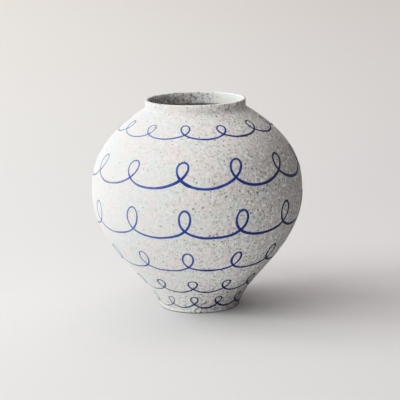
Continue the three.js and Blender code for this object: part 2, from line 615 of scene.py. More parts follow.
def turning_tree() -> Graph:
    """The tree that turns a profile about +Z, with a potter's finger rings where the profile has them.

    Returns:
        Its graph.
    """
    seeds_apart = 7.3
    round_waves, travel_waves = 0.4, 25.0
    noise_gain, noise_floor = 1.4, 0.1
    graph = Graph.group(
        "Turned On The Wheel",
        "GeometryNodeTree",
        {
            "Geometry": Socket.GEOMETRY,
            "Segments": Socket.COUNT,
            "Ring Pitch": Socket.NUMBER,
            "Ring Depth": Socket.NUMBER,
            "Seed": Socket.COUNT,
            "Material": Socket.MATERIAL,
        },
        {"Geometry": Socket.GEOMETRY},
    )
    profile = graph.given("Geometry")
    rows = graph.add("GeometryNodeAttributeDomainSize", {"Geometry": profile})[0]
    columns = graph.given("Segments") + 1.0
    grid = graph.add("GeometryNodeMeshGrid", {"Vertices X": rows, "Vertices Y": columns})[0]
    row, column = sheet_index(graph, columns)
    turn = column * math.tau / graph.given("Segments")
    place = graph.add("GeometryNodeInputPosition")[0]
    radius, _, height = graph.parts(sampled(graph, profile, place, row, "FLOAT_VECTOR"))
    fingered, inward_radius, inward_height, travel = (
        sampled(graph, profile, named(graph, name), row, "FLOAT")
        for name in ("fingered", "inward_radius", "inward_height", "travel")
    )
    # The groove climbs by one pitch a turn and is deeper in some places than in others.
    apart = graph.given("Seed") * seeds_apart
    aside, ahead = turn.sin() * round_waves, turn.cos() * round_waves + apart
    hand = graph.noise(graph.vector(aside, ahead, travel * travel_waves), 1.0)
    groove = (travel * math.tau / graph.given("Ring Pitch") + turn).sin()
    push = groove * (hand * noise_gain - noise_floor) * graph.given("Ring Depth") * fingered
    radius = radius + push * inward_radius
    height = height + push * inward_height
    here = graph.vector(radius * turn.sin(), -(radius * turn.cos()), height)
    turned = graph.add("GeometryNodeSetPosition", {"Geometry": grid, "Position": here})[0]
    closing_nodes(graph, turned)
    return graph


@dataclass
class Wheel:
    """Turns profiles into clay pieces, all with one tree. Each piece takes the next seed."""

    segments: int = 192
    ring_pitch: float = 0.0085
    ring_depth: float = 0.00028
    seed: int = 1
    graph: Graph = field(default_factory=turning_tree)

    def turn(
        self,
        node: str,
        profile: list[Vector],
        material: bpy.types.Material,
        slot: Slot,
        fingered: Sequence[float] | None = None,
    ) -> None:
        """Turns one closed profile and hands the piece to the frame. The profile runs with the clay on
        its left, and starts and ends on the axis or closes on itself.

        Args:
            node: The node that the piece stands for, which names it too.
            profile: Its points as radius and height.
            material: Its finish.
            slot: The record's slot that its finish comes from.
            fingered: How deep the finger rings are at each point, from 0 to 1.
        """
        closed = profile if profile[0].x == 0 else [*profile, profile[0].copy()]
        deep = list(fingered or [0.0] * len(profile))
        deep += deep[:1] * (len(closed) - len(profile))
        inward, travel = [], [0.0]
        for index, point in enumerate(closed):
            before, after = closed[max(index - 1, 0)], closed[min(index + 1, len(closed) - 1)]
            along = (after - before).normalized()
            inward.append((-along.y, along.x))
            travel.append(travel[-1] + (after - point).length)
        numbers = {
            "fingered": deep,
            "inward_radius": [radius for radius, _ in inward],
            "inward_height": [height for _, height in inward],
            "travel": travel[: len(closed)],
        }
        base = wire("jar_" + node, closed, numbers)
        inputs = {
            "Segments": self.segments,
            "Ring Pitch": self.ring_pitch,
            "Ring Depth": self.ring_depth,
            "Seed": self.seed,
            "Material": material,
        }
        self.seed += 1
        finish_piece(grown(base, self.graph, inputs), slot, node)


@dataclass
class Foot:
    """The foot ring and the slip that joins it to the lower bowl."""

    form: JarForm
    wheel: Wheel
    ring_width: float = 0.0085
    ring_draft: float = 0.0012
    edge: float = 0.0009

    def build(self, clay: bpy.types.Material, slip: bpy.types.Material) -> None:
        """Builds both pieces.

        Args:
            clay: The ring's finish.
            slip: The joint's finish.
        """
        joint_bottom, joint_top = heights("foot_joint_slip")
        foot = self.form.foot_radius
        inner = foot - self.ring_width
        side = self.form.point(self.form.share_at(self.edge))
        outer_edge = rounded_edge(Vector((foot - self.edge, 0)), Vector((foot, 0)), side)
        inner_edge = rounded_edge(
            Vector((inner, self.edge)), Vector((inner, 0)), Vector((inner + self.edge, 0))
        )
        top_inside = Vector((inner - self.ring_draft, joint_bottom))
        outside = self.form.outside(self.edge, joint_bottom)
        ring = [*inner_edge, *outer_edge, *outside[1:], top_inside]
        self.wheel.turn("foot_ring", ring, clay, Slot.CLAY)
        joint_outside = self.form.outside(joint_bottom, joint_top)
        joint = [top_inside, *joint_outside, Vector((top_inside.x, joint_top))]
        self.wheel.turn("foot_joint_slip", joint, slip, Slot.SLIP)


@dataclass
class Bowls:
    """The two thrown bowls and the slip between their rims."""

    form: JarForm
    wheel: Wheel
    floor_thickness: float = 0.007
    floor_corner: float = 0.012
    bead_reach: float = 0.0014

    def build(self, clay: bpy.types.Material, slip: bpy.types.Material) -> None:
        """Builds the three pieces.

        Args:
            clay: The bowls' finish.
            slip: The joint's finish.
        """
        self.lower_bowl(clay)
        self.waist_joint(slip)
        self.upper_bowl(clay)

    def lower_bowl(self, clay: bpy.types.Material) -> None:
        """The lower bowl, with finger rings inside and a rounded corner to its floor.

        Args:
            clay: Its finish.
        """
        bottom, top = heights("lower_bowl")
        floor = bottom + self.floor_thickness
        rim = self.form.share_at(top)
        wall = self.form.bowl_wall
        corner_top = floor + self.floor_corner / 2
        corner = root_of(lambda share: self.form.point(share, wall).y - corner_top, 0, rim)
        side = self.form.run(rim, corner, wall)
        side[0].y = top
        # The last row is thin, so the wall's slope is read over the row before it too
        last, before = side[-1], side[-3]
        fall = (last.y - floor) / (before.y - last.y)
        meeting = Vector((last.x - (before.x - last.x) * fall, floor))
        corner_end = Vector((meeting.x - self.floor_corner, floor))
        rounded = rounded_edge(last, meeting, corner_end)[1:]
        floor_rings = 14
        across = [Vector((corner_end.x * (1 - step / floor_rings), floor)) for step in range(1, floor_rings)]
        outside = [Vector((0, bottom)), *self.form.outside(bottom, top)]
        inside = [*side, *rounded, *across, Vector((0, floor))]
        faded = min(6, len(inside))
        rings = [min(1.0, index / faded) for index in range(len(inside) - 1)] + [0.0]
        fingered = [0.0] * len(outside) + rings
        self.wheel.turn("lower_bowl", [*outside, *inside], clay, Slot.CLAY, fingered)

    def waist_joint(self, slip: bpy.types.Material) -> None:
        """The slip between the rims, with the bead that it squeezes out inside.

        Args:
            slip: Its finish.
        """
        bottom, top = heights("waist_joint_slip")
        middle = (bottom + top) / 2
        inner = self.form.radius_at(middle) - self.form.bowl_wall
        bead = rounded_edge(
            Vector((inner, top)), Vector((inner - 2 * self.bead_reach, middle)), Vector((inner, bottom))
        )
        profile = [*bead, *self.form.outside(bottom, top)]
        self.wheel.turn("waist_joint_slip", profile, slip, Slot.SLIP)

    def upper_bowl(self, clay: bpy.types.Material) -> None:
        """The upper bowl, from its rim to the throat under the collar.

        Args:
            clay: Its finish.
        """
        bottom, top = heights("upper_bowl")
        throat = self.form.throat_radius
        side = self.form.run(1.0, self.form.share_at(bottom), self.form.bowl_wall)
        side[-1].y = bottom
        rise = (side[0].x - throat) * math.tan(self.form.shoulder_slope)
        throat_bottom = Vector((throat, side[0].y + rise))
        outside = self.form.outside(bottom, top)
        inside = [Vector((throat, top)), throat_bottom, *side]
        faded = 8
        rings = [min(1.0, index / faded, (len(inside) - 1 - index) / faded) for index in range(len(inside))]
        fingered = [0.0] * len(outside) + rings
        self.wheel.turn("upper_bowl", [*outside, *inside], clay, Slot.CLAY, fingered)


@dataclass
class Neck:
    """The collar and the slip that joins it to the upper bowl."""

    form: JarForm
    wheel: Wheel
    lip_radius: float = 0.0597
    outer_edge: float = 0.0012
    inner_edge: float = 0.0018
    fillet_height: float = 0.0018
    fillet_reach: float = 0.0007

    def build(self, clay: bpy.types.Material, slip: bpy.types.Material) -> None:
        """Builds both pieces.

        Args:
            clay: The collar's finish.
            slip: The joint's finish.
        """
        bottom, top = heights("neck_collar")
        joint_bottom = heights("neck_joint_slip")[0]
        throat, neck = self.form.throat_radius, self.form.neck_radius
        fillet_foot = Vector((neck + self.fillet_reach, bottom))
        joint = [
            Vector((throat, joint_bottom)),
            Vector((self.form.radius_at(joint_bottom), joint_bottom)),
            fillet_foot,
            Vector((throat, bottom)),
        ]
        self.wheel.turn("neck_joint_slip", joint, slip, Slot.SLIP)
        flare = (self.lip_radius - neck) * self.fillet_height / (top - bottom - self.outer_edge)
        fillet = rounded_edge(
            fillet_foot,
            Vector((neck, bottom + self.fillet_reach)),
            Vector((neck + flare, bottom + self.fillet_height)),
        )
        outer_lip = rounded_edge(
            Vector((self.lip_radius, top - self.outer_edge)),
            Vector((self.lip_radius, top)),
            Vector((self.lip_radius - self.outer_edge, top)),
        )
        inside = self.lip_radius - self.form.collar_wall
        inner_lip = rounded_edge(
            Vector((inside + self.inner_edge, top)),
            Vector((inside, top)),
            Vector((inside, top - self.inner_edge)),
        )
        profile = [Vector((throat, bottom)), *fillet, *outer_lip, *inner_lip]
        self.wheel.turn("neck_collar", profile, clay, Slot.CLAY)


@dataclass(frozen=True)
class Station:
    """One step of a drawn line: its u, its turn round the jar, and the wall's place and slope there."""

    graph: Graph
    u: Value
    turn: Value
    radius: Value
    height: Value
    slope_radius: Value
    slope_height: Value

    def about_axis(self, outward: Value, upward: Value) -> Value:
        """A vector given as radius and height, turned to its place round the jar."""
        return self.graph.vector(outward * self.turn.sin(), -(outward * self.turn.cos()), upward)

    def place(self) -> Value:
        """Its point on the wall."""
        return self.about_axis(self.radius, self.height)

    def outward(self) -> Value:
        """The direction square to the wall."""
        return self.about_axis(self.slope_height, -self.slope_radius)


@dataclass
class LoopDrawing:
    """The tree that draws one line of loops round the jar as a low domed bead.

    Its base is the wall as a wire from table to neck. A point of the line has a place round the jar
    and a place up the wall, both from the loop's formula, in which u runs from -pi to pi over a loop
    and its top is at 0. The fields say how far the hand strays from that formula and how the slip
    flows. Waves are per metre, and the drift's are round the jar.
    """

    seeds_apart: float = 11.0
    drifts_apart: float = 3.1
    height_spread: float = 0.05
    lean_spread: float = 0.06
    width_spread: float = 0.03
    drift: float = 0.004
    drift_waves: float = 2.2
    waver_waves: float = 55.0
    waver_width: float = 0.7
    waver_load: float = 0.9
    pool_waves: float = 24.0
    pool_edge: Ramp = (0.6, 0.72)
    pool_width: float = 0.28
    pool_load: float = 0.5
    crossing_edge: Ramp = (0.28, 0.05)
    crossing_load: float = 0.5
    pressed_low: float = 0.13
    left_width: float = 0.62
    gained_width: float = 0.56
    ragged_waves: float = 700.0
    ragged_width: float = 0.3
    sizes: tuple[str, ...] = (
        "Place",
        "Rise",
        "Lift",
        "Swing",
        "Lean",
        "Pitch",
        "First Turn",
        "Radius",
        "Wall Length",
        "Line Width",
        "Crown",
        "Root",
        "Crossing Turn",
        "Hand",
    )
    counts: tuple[str, ...] = ("Loops", "Steps", "Section", "Seed")

    def __post_init__(self) -> None:
        """Opens the tree with its named inputs."""
        sockets = {"Geometry": Socket.GEOMETRY}
        sockets |= dict.fromkeys(self.sizes, Socket.NUMBER)
        sockets |= dict.fromkeys(self.counts, Socket.COUNT)
        sockets["Material"] = Socket.MATERIAL
        outputs = {"Geometry": Socket.GEOMETRY}
        self.graph = Graph.group("Drawn Loops", "GeometryNodeTree", sockets, outputs)
        self.given = self.graph.given
        self.stations = self.given("Loops") * self.given("Steps")

    def tree(self) -> Graph:
        """Fills the tree and gives its graph."""
        closing_nodes(self.graph, self.bead(self.path(self.station())))
        return self.graph

    def strayed(self, loop: Value, spread: float, seed: int) -> Value:
        """A number for each loop, spread evenly about 0.

        Args:
            loop: The loop's number.
            spread: The furthest that it goes from 0.
            seed: Which of the line's numbers it is.

        Returns:
            The number, which is 0 where Hand is.
        """
        stream = self.given("Seed") * self.seeds_apart + float(seed)
        inputs = {"Min": -spread, "Max": spread, "ID": loop, "Seed": stream}
        drawn = self.graph.add("FunctionNodeRandomValue", inputs, data_type="FLOAT")[0]
        return drawn * self.given("Hand")

    def station(self) -> Station:
        """Where each step of the line lies, by the loop's formula and the hand's straying.

        Returns:
            The numbers of a step.
        """
        graph, given = self.graph, self.given
        index = graph.add("GeometryNodeInputIndex")[0]
        loop = (index / given("Steps") + COUNT_GUARD).floor()
        u = (index - loop * given("Steps")) * math.tau / given("Steps") - math.pi
        rise = given("Rise") * (self.strayed(loop, self.height_spread, 1) + 1.0)
        lean = given("Lean") + self.strayed(loop, self.lean_spread, 2)
        swing = given("Swing") * (self.strayed(loop, self.width_spread, 3) + 1.0)
        up = rise * ((u.cos() + 1.0) * 0.5 + given("Lift") * u.sin() * u.sin())
        along = given("Pitch") * u / math.tau - swing * u.sin() + lean * up
        turn = given("First Turn") + loop * math.tau / given("Loops") + along / given("Radius")
        round_the_jar = graph.vector(turn.sin(), turn.cos(), given("Seed") * self.drifts_apart)
        drift = (graph.noise(round_the_jar, self.drift_waves) - 0.5) * self.drift * given("Hand")
        share = given("Place") + (up + drift) / given("Wall Length")
        wall = graph.add("GeometryNodeMeshToCurve", {"Mesh": given("Geometry")})[0]
        inputs = {"Curves": wall, "Factor": share}
        found = graph.add("GeometryNodeSampleCurve", inputs, mode="FACTOR", use_all_curves=True)
        radius, _, height = graph.parts(found[1])
        slope_radius, _, slope_height = graph.parts(found[2])
        return Station(graph, u, turn, radius, height, slope_radius, slope_height)

    def path(self, station: Station) -> Value:
        """The line's middle as a closed curve, with the stroke's numbers kept on its points.

        The slip ran thin on the left. The line is pressed harder at the foot of each swing, and the
        slip pools here and there and where the line crosses itself.

        Args:
            station: Where each step lies.

        Returns:
            The curve.
        """
        graph, given, u = self.graph, self.given, station.u
        facing = station.turn.sin()
        flow = facing.fade(*SLIP_FLOW_AND_SHADE)
        waver = graph.noise(station.place(), self.waver_waves, 3.0) - 0.5
        pool = graph.noise(station.place(), self.pool_waves, 1.0).fade(*self.pool_edge)
        unevenness = waver * self.waver_width + pool * self.pool_width
        pressure = u.cos() * -self.pressed_low + 1.0 + unevenness * given("Hand")
        from_crossing = (u.math("ABSOLUTE") - given("Crossing Turn")).math("ABSOLUTE")
        load = from_crossing.fade(*self.crossing_edge) * self.crossing_load
        load = load + pool * self.pool_load + waver * self.waver_load
        ring = graph.add("GeometryNodeCurvePrimitiveCircle", {"Resolution": self.stations})[0]
        pressure = pressure * (flow * self.gained_width + self.left_width)
        ring = stored(graph, ring, "pressure", pressure)
        ring = stored(graph, ring, "load", load)
        ring = stored(graph, ring, "facing", facing)
        ring = stored(graph, ring, "outward", station.outward(), "FLOAT_VECTOR")
        placed = {"Geometry": ring, "Position": station.place()}
        return graph.add("GeometryNodeSetPosition", placed)[0]

    def bead(self, path: Value) -> Value:
        """The bead round the line's middle: a dome above the clay and a shallow root in it.

        Args:
            path: The line's middle.

        Returns:
            The bead's mesh.
        """
        graph, given = self.graph, self.given
        columns = given("Section") + 1.0
        grid_inputs = {"Vertices X": self.stations + 1.0, "Vertices Y": columns}
        grid = graph.add("GeometryNodeMeshGrid", grid_inputs)[0]
        row, column = sheet_index(graph, columns)
        step = row.math("FLOORED_MODULO", self.stations)
        angle = column * math.tau / given("Section")
        position = graph.add("GeometryNodeInputPosition")[0]
        tangent = graph.add("GeometryNodeInputTangent")[0]
        centre = sampled(graph, path, position, step, "FLOAT_VECTOR")
        heading = sampled(graph, path, tangent, step, "FLOAT_VECTOR")
        outward = sampled(graph, path, named(graph, "outward", "FLOAT_VECTOR"), step, "FLOAT_VECTOR")
        pressure, load, facing = (
            sampled(graph, path, named(graph, name), step, "FLOAT")
            for name in ("pressure", "load", "facing")
        )
        side = graph.vectors("NORMALIZE", graph.vectors("CROSS_PRODUCT", heading, outward))
        edge_place = graph.vectors("ADD", centre, graph.scaled(side, angle.cos()))
        ragged = (graph.noise(edge_place, self.ragged_waves, 1.0) - 0.5) * self.ragged_width
        half_width = (pressure + ragged * given("Hand")) * given("Line Width") * 0.5
        above = angle.sin().math("MAXIMUM", 0.0) * given("Crown")
        below = angle.sin().math("MINIMUM", 0.0) * given("Root")
        aside = graph.scaled(side, angle.cos() * half_width)
        lifted = graph.scaled(outward, above + below)
        here = graph.vectors("ADD", graph.vectors("ADD", centre, aside), lifted)
        stroke = graph.vector(angle.cos(), load, facing)
        grid = stored(graph, grid, STROKE, stroke, "FLOAT_VECTOR")
        return graph.add("GeometryNodeSetPosition", {"Geometry": grid, "Position": here})[0]


@dataclass(frozen=True)
class LoopLine:
    """One drawn line. Place is where its lowest points lie, as a share of the wall's length; tall,
    wide and thick are shares of the largest loop and of the line's width; crossing is how far up the
    loop the line crosses itself; lean is how far the top is carried sideways for its height;
    first_loop is how many degrees to the right of the front its first loop stands.
    """

    place: float
    tall: float
    wide: float
    thick: float
    crossing: float
    lean: float
    first_loop: float


@dataclass
class DrawnLines:
    """The six lines of cobalt slip round the jar."""

    form: JarForm
    loops: int = 12
    loop_height: float = 0.0336
    loop_width: float = 0.0132
    line_width: float = 0.0026
    crown: float = 0.00026
    root: float = 0.00012
    steps: int = 80
    section: int = 12
    hand: float = 1.0
    lines: tuple[LoopLine, ...] = (
        LoopLine(0.861, 0.6, 0.77, 0.73, 0.33, -0.03, -8.4),
        LoopLine(0.651, 0.95, 0.97, 1.0, 0.36, 0.2, -9.6),
        LoopLine(0.4517, 1.0, 1.0, 1.0, 0.27, 0.05, -7.0),
        LoopLine(0.273, 0.85, 0.8, 0.92, 0.25, 0.06, -6.6),
        LoopLine(0.1224, 0.65, 0.7, 0.84, 0.31, 0.05, -6.0),
        LoopLine(0.0272, 0.51, 0.56, 0.72, 0.31, 0.05, -6.6),
    )

    def shape(self, line: LoopLine) -> dict[str, float]:
        """Works out the loop formula's numbers for one line.

        Args:
            line: The line.

        Returns:
            The tree's inputs by name.
        """
        width = self.loop_width * line.wide
        rise = self.loop_height * line.tall
        crossing_share = line.place + line.crossing * rise / self.form.wall_length
        radius = self.form.point(crossing_share).x
        pitch = math.tau * radius / self.loops
        below_upright = 1.5
        widest = root_of(lambda u: math.tan(u) - u - math.pi * width / pitch, 0, below_upright)
        swing = pitch / (math.tau * math.cos(widest))
        meeting = root_of(lambda u: u * math.cos(widest) - math.sin(u), widest, math.pi)
        lift = (line.crossing - (1 + math.cos(meeting)) / 2) / math.sin(meeting) ** 2
        return {
            "Place": line.place,
            "Rise": rise,
            "Lift": lift,
            "Swing": swing,
            "Lean": line.lean,
            "Pitch": pitch,
            "First Turn": math.radians(line.first_loop),
            "Radius": radius,
            "Wall Length": self.form.wall_length,
            "Line Width": self.line_width * line.thick,
            "Crossing Turn": meeting,
        }

    def build(self, cobalt: bpy.types.Material) -> None:
        """Draws every line.

        Args:
            cobalt: Their finish.
        """
        graph = LoopDrawing().tree()
        wall_points = 600
        wall = [self.form.point(step / wall_points) for step in range(wall_points + 1)]
        for number, line in enumerate(self.lines, start=1):
            node = f"loop_line_{number}"
            base = wire("jar_" + node, wall)
            inputs = self.shape(line) | {
                "Crown": self.crown,
                "Root": self.root,
                "Hand": self.hand,
                "Loops": self.loops,
                "Steps": self.steps,
                "Section": self.section,
                "Seed": number,
                "Material": cobalt,
            }
            finish_piece(grown(base, graph, inputs), Slot.COBALT, node)


def speck_group() -> Graph:
    """Round specks scattered through the clay, so that the surface cuts them at all sizes.

    Returns:
        The group's graph.
    """
    ragged_waves, ragged_reach = 1300.0, 0.0009
    smallest, girth_spread = 0.3, 0.8
    outer_edge, inner_edge = 1.1, 0.75
    graph = Graph.group(
        "Iron Specks",
        "ShaderNodeTree",
        {"Vector": Socket.VECTOR} | dict.fromkeys(("Spacing", "Size", "Share"), Socket.NUMBER),
        dict.fromkeys(("Mask", "Tone"), Socket.NUMBER),
    )
    vector, spacing = graph.given("Vector"), graph.given("Spacing")
    noise_inputs = {"Vector": vector, "Scale": ragged_waves, "Detail": 1.0}
    ragged = graph.add("ShaderNodeTexNoise", noise_inputs)[1]
    moved = graph.vectors("ADD", vector, graph.scaled(ragged, ragged_reach))
    cell_inputs = {"Vector": moved, "Scale": spacing.math("POWER", -1.0)}
    distance, cell_colour, _ = graph.add("ShaderNodeTexVoronoi", cell_inputs, feature="F1")
    chance, girth, tone = graph.parts(cell_colour)
    there = (graph.given("Share") - chance).fade(*CHANCE_EDGE)
    radius = graph.given("Size") / spacing * (girth * girth_spread + smallest)
    graph.give("Mask", distance.fade(radius * outer_edge, radius * inner_edge) * there)
    graph.give("Tone", tone)
    return graph


def granite_group() -> Graph:
    """The clay's own mottling: fine dark and light grains, slow warm clouds and straw-coloured stains.

    Returns:
        The group's graph.
    """
    stains_in_cloud = 3.7
    dark_edge, light_edge = (0.47, 0.3), (0.53, 0.7)
    cloud_edge, stain_edge = (0.34, 0.66), (0.4, 0.66)
    graph = Graph.group(
        "Granite Mottling",
        "ShaderNodeTree",
        {"Vector": Socket.VECTOR} | dict.fromkeys(("Grain", "Cloud"), Socket.NUMBER),
        dict.fromkeys(("Dark", "Light", "Clouds", "Stains"), Socket.NUMBER),
    )
    vector = graph.given("Vector")
    grain_waves = graph.given("Grain").math("POWER", -1.0)
    cloud_waves = graph.given("Cloud").math("POWER", -1.0)
    grains = graph.noise(vector, grain_waves, 2.0)
    stains = graph.noise(vector, cloud_waves * stains_in_cloud, 1.0)
    graph.give("Dark", grains.fade(*dark_edge))
    graph.give("Light", grains.fade(*light_edge))
    graph.give("Clouds", graph.noise(vector, cloud_waves, 2.0).fade(*cloud_edge))
    graph.give("Stains", stains.fade(*stain_edge))
    return graph


def grit_group() -> Graph:
    """The height of the dry surface: fine sand, and pits where grog was dragged out.

    Returns:
        The group's graph.
    """
    sand_waves, swell_waves, pit_waves = 900.0, 130.0, 290.0
    sand_height, swell_height, pit_depth = 0.35, 0.5, 1.2
    smallest, girth_spread, pit_bottom = 0.1, 0.17, 0.03
    graph = Graph.group(
        "Dry Grit",
        "ShaderNodeTree",
        {"Vector": Socket.VECTOR, "Pits": Socket.NUMBER},
        dict.fromkeys(("Height", "Pit"), Socket.NUMBER),
    )
    vector = graph.given("Vector")
    sand = graph.noise(vector, sand_waves, 4.0)
    swell = graph.noise(vector, swell_waves, 2.0)
    cells = graph.add("ShaderNodeTexVoronoi", {"Vector": vector, "Scale": pit_waves}, feature="F1")
    chance, girth, _ = graph.parts(cells[1])
    there = (graph.given("Pits") - chance).fade(*CHANCE_EDGE)
    pit = cells[0].fade(girth * girth_spread + smallest, pit_bottom) * there
    graph.give("Height", sand * sand_height + swell * swell_height - pit * pit_depth)
    graph.give("Pit", pit)
    return graph


@dataclass(frozen=True)
class SurfaceGroups:
    """The shared effects that every finish of the jar places with its own values."""

    specks: Graph = field(default_factory=speck_group)
    granite: Graph = field(default_factory=granite_group)
    grit: Graph = field(default_factory=grit_group)


def new_material(name: str, roughness: float) -> tuple[bpy.types.Material, Graph, bpy.types.Node]:
    """A material with one Principled shader.

    Args:
        name: The material's name.
        roughness: The shader's own roughness.

    Returns:
        The material, its graph and the shader node.
    """
    material = bpy.data.materials.new(name)
    material.use_nodes = True
    graph = Graph(material.node_tree)
    shader = graph.tree.nodes.new("ShaderNodeBsdfPrincipled")
    output = graph.tree.nodes.new("ShaderNodeOutputMaterial")
    graph.tree.links.new(shader.outputs[0], output.inputs[0])
    shader.inputs["Roughness"].default_value = roughness
    return material, graph, shader


@dataclass
class FiredSurface:
    """One material's Object coordinates, and masks of painted shade and light and of how strong the specks
    and grains are. A mask is 1 where its mark is full, and speckle_and_shade goes further where several
    marks meet.

    Heights and radii are in metres. A side is given by how far a place faces right, from -1 on the
    wall's left to 1 on its right, an across by metres to the right of the axis, and lip_highlight_front by
    metres behind it.
    """

    graph: Graph
    groups: SurfaceGroups
    pits: float
    near_axis: float = 0.04
    throat_wall: Ramp = (0.0578, 0.057)
    throat_height: Ramp = (0.226, 0.232)
    # Painted shade low on the foot's right and on the collar's outer right
    shaded_foot: Ramp = (0.052, 0.01)
    shaded_foot_side: Ramp = (-0.3, 0.4)
    shaded_collar: Ramp = (0.236, 0.241)
    shaded_collar_lip: Ramp = (0.2499, 0.2485)
    shaded_collar_side: Ramp = (0.1, 0.6)
    collar_shade: float = 0.75
    # How strong specks and grains are: real specks, made stronger as painted shade on the right, round the
    # foot and in the mouth
    speckle_across: Ramp = (-0.15, 0.07)
    speckle_lean: float = 0.12
    speckle_foot: Ramp = (0.024, 0.008)
    foot_speckle: float = 0.3
    shade_speckle: float = 0.6
    spared_across: Ramp = (0.0, 0.035)
    spared_share: float = 0.85
    most_speckle: float = 1.5
    least_speckle: float = 0.12
    # Painted shade on the right: where it starts, how it climbs round with height, and how far the shoulder
    # is spared
    right_shade_start: float = 0.2
    right_shade_rise: float = 1.35
    right_shade_full_height: float = 0.12
    right_shade_shoulder: Ramp = (0.18, 0.23)
    shoulder_relief: float = 0.42
    right_shade_edge: Ramp = (0.34, 1.6)
    # Painted shade on the mouth's left, near the lip and further down
    mouth_left_shade_height: Ramp = (0.2478, 0.245)
    mouth_left_shade_across: Ramp = (0.03, -0.045)
    deep_height: Ramp = (0.24, 0.229)
    deep_across: Ramp = (0.03, 0.0)
    deep_share: float = 0.9
    # Painted light on the mouth's right
    mouth_right_light_across: Ramp = (-0.02, 0.035)
    # A painted highlight on the lip's front
    lip_highlight_height: Ramp = (0.2483, 0.2496)
    lip_highlight_side: Ramp = (-0.7, 0.0)
    lip_highlight_front: Ramp = (0.0, -0.04)

    def __post_init__(self) -> None:
        """Reads the coordinates, and makes the grit and the masks that others are made from."""
        self.place = self.graph.add("ShaderNodeTexCoord")[3]
        self.grit = self.graph.place(self.groups.grit, Vector=self.place, Pits=self.pits)
        self.across, self.back, self.height = self.graph.parts(self.place)
        flat = self.graph.vector(self.across, self.back, 0.0)
        outward = self.graph.vectors("LENGTH", flat)
        self.facing = self.across / outward.math("MAXIMUM", self.near_axis)
        self.throat = outward.fade(*self.throat_wall) * self.height.fade(*self.throat_height)
        # Painted shade on the foot's and collar's right, and the speck strength, which is partly painted
        # shade
        self.foot_collar_shade = self.shade_foot_and_collar()
        self.speckle_and_shade = self.speckle_and_shade_strength()

    def shade_foot_and_collar(self) -> Value:
        """Painted shade low on the right and on the collar's right.

        Returns:
            The mask.
        """
        low = self.height.fade(*self.shaded_foot) * self.facing.fade(*self.shaded_foot_side)
        collar = self.height.fade(*self.shaded_collar) * self.height.fade(*self.shaded_collar_lip)
        collar = collar * self.facing.fade(*self.shaded_collar_side) * self.collar_shade
        return (low + collar) * (self.throat * -1.0 + 1.0)

    def speckle_and_shade_strength(self) -> Value:
        """How strong the specks and grains are: real iron specks, made stronger as painted shade on the
        shaded right, round the foot and in the mouth.

        Returns:
            The mask.
        """
        side = (self.across - self.height * self.speckle_lean).fade(*self.speckle_across)
        foot = self.height.fade(*self.speckle_foot) * self.foot_speckle
        edges = foot + self.throat + self.foot_collar_shade * self.shade_speckle
        spared = self.throat * self.across.fade(*self.spared_across) * -self.spared_share + 1.0
        strongest = ((side + edges) * spared).math("MINIMUM", self.most_speckle)
        return strongest * (1.0 - self.least_speckle) + self.least_speckle

    def right_shade(self) -> Value:
        """Painted shade on the right, further round higher up and less on the shoulder.

        Returns:
            The mask.
        """
        rise = self.height.math("MINIMUM", self.right_shade_full_height) * self.right_shade_rise + self.right_shade_start
        lift = rise - self.height.fade(*self.right_shade_shoulder) * self.shoulder_relief
        return (self.facing + lift).fade(*self.right_shade_edge)

    def mouth_left_shade(self) -> Value:
        """Painted shade on the mouth's left."""
        return self.throat * self.height.fade(*self.mouth_left_shade_height) * self.across.fade(*self.mouth_left_shade_across)

    def deep(self) -> Value:
        """Painted shade on the mouth's left, further down."""
        down = self.throat * self.height.fade(*self.deep_height)
        return down * self.across.fade(*self.deep_across) * self.deep_share

    def mouth_right_light(self) -> Value:
        """Painted light on the right side of the mouth."""
        return self.throat * self.across.fade(*self.mouth_right_light_across)

    def lip_highlight(self) -> Value:
        """A painted highlight on the lip's rim at the front."""
        rim = self.height.fade(*self.lip_highlight_height) * self.facing.fade(*self.lip_highlight_side)
        return rim * self.back.fade(*self.lip_highlight_front)


@dataclass(frozen=True)
class Finish:
    """What every finish of the jar has: a dry surface with its own grain, grit and pits. Grain, cloud
    and relief are in metres.
    """

    name: str
    grain: float
    cloud: float
    pits: float
    roughness: float
    relief: float
    relief_strength: float
    diffuse_roughness: float = 0.0
    specular: float = 0.25

    def colour(self, surface: FiredSurface) -> Value:
        """The colour all over the surface, which each finish makes in its own way."""
        raise NotImplementedError

    def grains(self, surface: FiredSurface) -> dict[str, Value]:
        """The clay's mottling at the finish's own sizes."""
        granite, place = surface.groups.granite, surface.place
        return surface.graph.place(granite, Vector=place, Grain=self.grain, Cloud=self.cloud)

    def material(self, groups: SurfaceGroups) -> bpy.types.Material:
        """Builds the finish.

        Args:
            groups: The shared effects.

        Returns:
            The material.
        """
        material, graph, shader = new_material(self.name, self.roughness)
        surface = FiredSurface(graph, groups, self.pits)
        height, strength = surface.grit["Height"], self.relief_strength
        bump = {"Strength": strength, "Distance": self.relief, "Height": height}
        graph.feed(self.colour(surface), shader.inputs["Base Color"])
        graph.feed(graph.add("ShaderNodeBump", bump)[0], shader.inputs["Normal"])
        shader.inputs["Diffuse Roughness"].default_value = self.diffuse_roughness
        shader.inputs["Specular IOR Level"].default_value = self.specular
        return material


@dataclass(frozen=True)
class Specks:
    """One size of iron speck: the room that each has, its radius in metres and how many are there."""

    spacing: float
    size: float
    share: float


